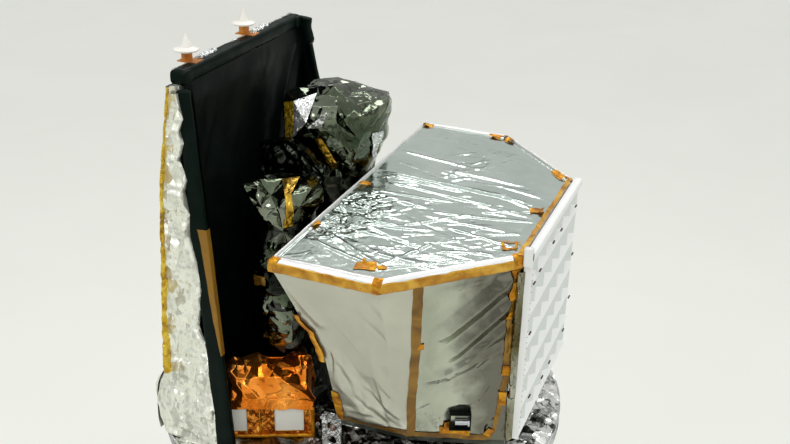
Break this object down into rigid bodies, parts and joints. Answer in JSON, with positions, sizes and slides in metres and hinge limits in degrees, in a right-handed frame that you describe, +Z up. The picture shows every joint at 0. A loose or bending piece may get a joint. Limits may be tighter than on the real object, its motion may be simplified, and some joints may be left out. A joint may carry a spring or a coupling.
{
  "type": "space observatory satellite",
  "caption": "Space observatory satellite on its separation ring: sunshade, masked imager with folded radiator, covered telescopes, eight-sided bus and folding solar wings.",
  "frame": {"origin": "centre of the separation ring's bottom face", "axes": "+Z up along the telescopes' line of sight, +X from the sunshade towards the white radiator, Y from wing to wing"},
  "size_m": [2.7498, 2.7498, 5.692],
  "materials": {
    "machined_alloy": "satin clear finish on machined alloy",
    "bus_blanket": "silvered film blanket with wrinkles",
    "white_radiator": "matt white thermal paint",
    "bench_skin": "dark film over a composite skin",
    "crumpled_foil": "crumpled silver foil",
    "dark_blanket": "black film blanket with sharp creases",
    "satin_film": "satin grey-beige film, drawn smooth",
    "rim_film": "silver-white film with an amber tape band",
    "mirror_film": "crinkled bright silver film",
    "outer_blanket": "crumpled white and silver blanket",
    "black_wrap": "black film wrapped round a foam roll",
    "black_film": "matt black film with long folds",
    "amber_film": "amber film, semi-gloss",
    "amber_foil": "crumpled glossy amber foil",
    "white_antenna": "smooth off-white radome",
    "gold_mirror": "polished gold-coated shells",
    "dark_cover_film": "loose dark metallic film, glossy",
    "composite": "bare carbon composite tube",
    "solar_cells": "dark blue cells under cover glass"
  },
  "bodies": {
    "observatory": {"separation_ring": "machined_alloy", "bus_lower_deck": "machined_alloy", "bus_upper_deck": "machined_alloy", "bus_posts": "machined_alloy", "bus_side_panels": "bus_blanket", "bus_radiators": "white_radiator", "bench_struts": "machined_alloy", "optical_bench": "bench_skin", "imager_legs": "crumpled_foil", "imager_base": "dark_blanket", "imager_shell": "satin_film", "imager_port": "black_film", "port_sensor": "machined_alloy", "mask_frame": "rim_film", "mask_panel": "machined_alloy", "mask_film": "mirror_film", "radiator_panel": "white_radiator", "radiator_standoffs": "machined_alloy", "sunshade_panel": "outer_blanket", "sunshade_wings": "outer_blanket", "sunshade_rim": "black_wrap", "sunshade_liner": "black_film", "sunshade_gussets": "machined_alloy", "antenna_brackets": "amber_film", "cone_antennas": "white_antenna", "xray_tube": "dark_blanket", "xray_mirrors": "gold_mirror", "xray_cover_skirt": "dark_cover_film", "optical_tube": "dark_blanket", "optical_baffle": "black_film", "optical_cover_skirt": "dark_cover_film", "electronics_box": "amber_film", "box_windows": "white_radiator", "box_foil": "amber_foil", "array_drives": "machined_alloy", "array_holddowns": "machined_alloy"},
    "xray_door": {"xray_lid": "machined_alloy", "xray_cover_cap": "dark_cover_film"},
    "optical_door": {"optical_lid": "machined_alloy", "optical_cover_cap": "dark_cover_film"},
    "far_shaft_body": {"far_shaft": "machined_alloy"},
    "far_yoke_body": {"far_yoke": "composite"},
    "far_inner_panel_body": {"far_inner_panel": "solar_cells"},
    "far_outer_panel_body": {"far_outer_panel": "solar_cells"},
    "near_shaft_body": {"near_shaft": "machined_alloy"},
    "near_yoke_body": {"near_yoke": "composite"},
    "near_inner_panel_body": {"near_inner_panel": "solar_cells"},
    "near_outer_panel_body": {"near_outer_panel": "solar_cells"}
  },
  "joints": [
    {"name": "xray_door_hinge", "type": "hinge", "parent": "observatory", "child": "xray_door", "pos_m": [-0.71, 0.45, 4.98], "axis": [0, -1, 0], "range_deg": [0, 90]},
    {"name": "optical_door_hinge", "type": "hinge", "parent": "observatory", "child": "optical_door", "pos_m": [-0.666, -0.25, 4.63], "axis": [0, -1, 0], "range_deg": [0, 90]},
    {"name": "far_array_drive", "type": "hinge", "parent": "observatory", "child": "far_shaft_body", "pos_m": [0, 1.05, 1.445], "axis": [0, 1, 0], "range_deg": [-90, 90]},
    {"name": "far_root_fold", "type": "hinge", "parent": "far_shaft_body", "child": "far_yoke_body", "pos_m": [0, 1.104, 1.445], "axis": [0, 0, 1], "range_deg": [0, 90]},
    {"name": "far_inner_fold", "type": "hinge", "parent": "far_yoke_body", "child": "far_inner_panel_body", "pos_m": [0.33, 1.13, 1.445], "axis": [0, 0, 1], "range_deg": [-180, 0]},
    {"name": "far_outer_fold", "type": "hinge", "parent": "far_inner_panel_body", "child": "far_outer_panel_body", "pos_m": [-0.33, 1.179, 1.445], "axis": [0, 0, 1], "range_deg": [0, 180]},
    {"name": "near_array_drive", "type": "hinge", "parent": "observatory", "child": "near_shaft_body", "pos_m": [0, -1.05, 1.445], "axis": [0, 1, 0], "range_deg": [-90, 90]},
    {"name": "near_root_fold", "type": "hinge", "parent": "near_shaft_body", "child": "near_yoke_body", "pos_m": [0, -1.104, 1.445], "axis": [0, 0, -1], "range_deg": [0, 90]},
    {"name": "near_inner_fold", "type": "hinge", "parent": "near_yoke_body", "child": "near_inner_panel_body", "pos_m": [0.33, -1.13, 1.445], "axis": [0, 0, -1], "range_deg": [-180, 0]},
    {"name": "near_outer_fold", "type": "hinge", "parent": "near_inner_panel_body", "child": "near_outer_panel_body", "pos_m": [-0.33, -1.179, 1.445], "axis": [0, 0, -1], "range_deg": [0, 180]}
  ],
  "couplings": [
    {"joint": "far_inner_fold", "follows": "far_root_fold", "ratio": -2},
    {"joint": "far_outer_fold", "follows": "far_root_fold", "ratio": 2},
    {"joint": "near_inner_fold", "follows": "near_root_fold", "ratio": -2},
    {"joint": "near_outer_fold", "follows": "near_root_fold", "ratio": 2}
  ]
}
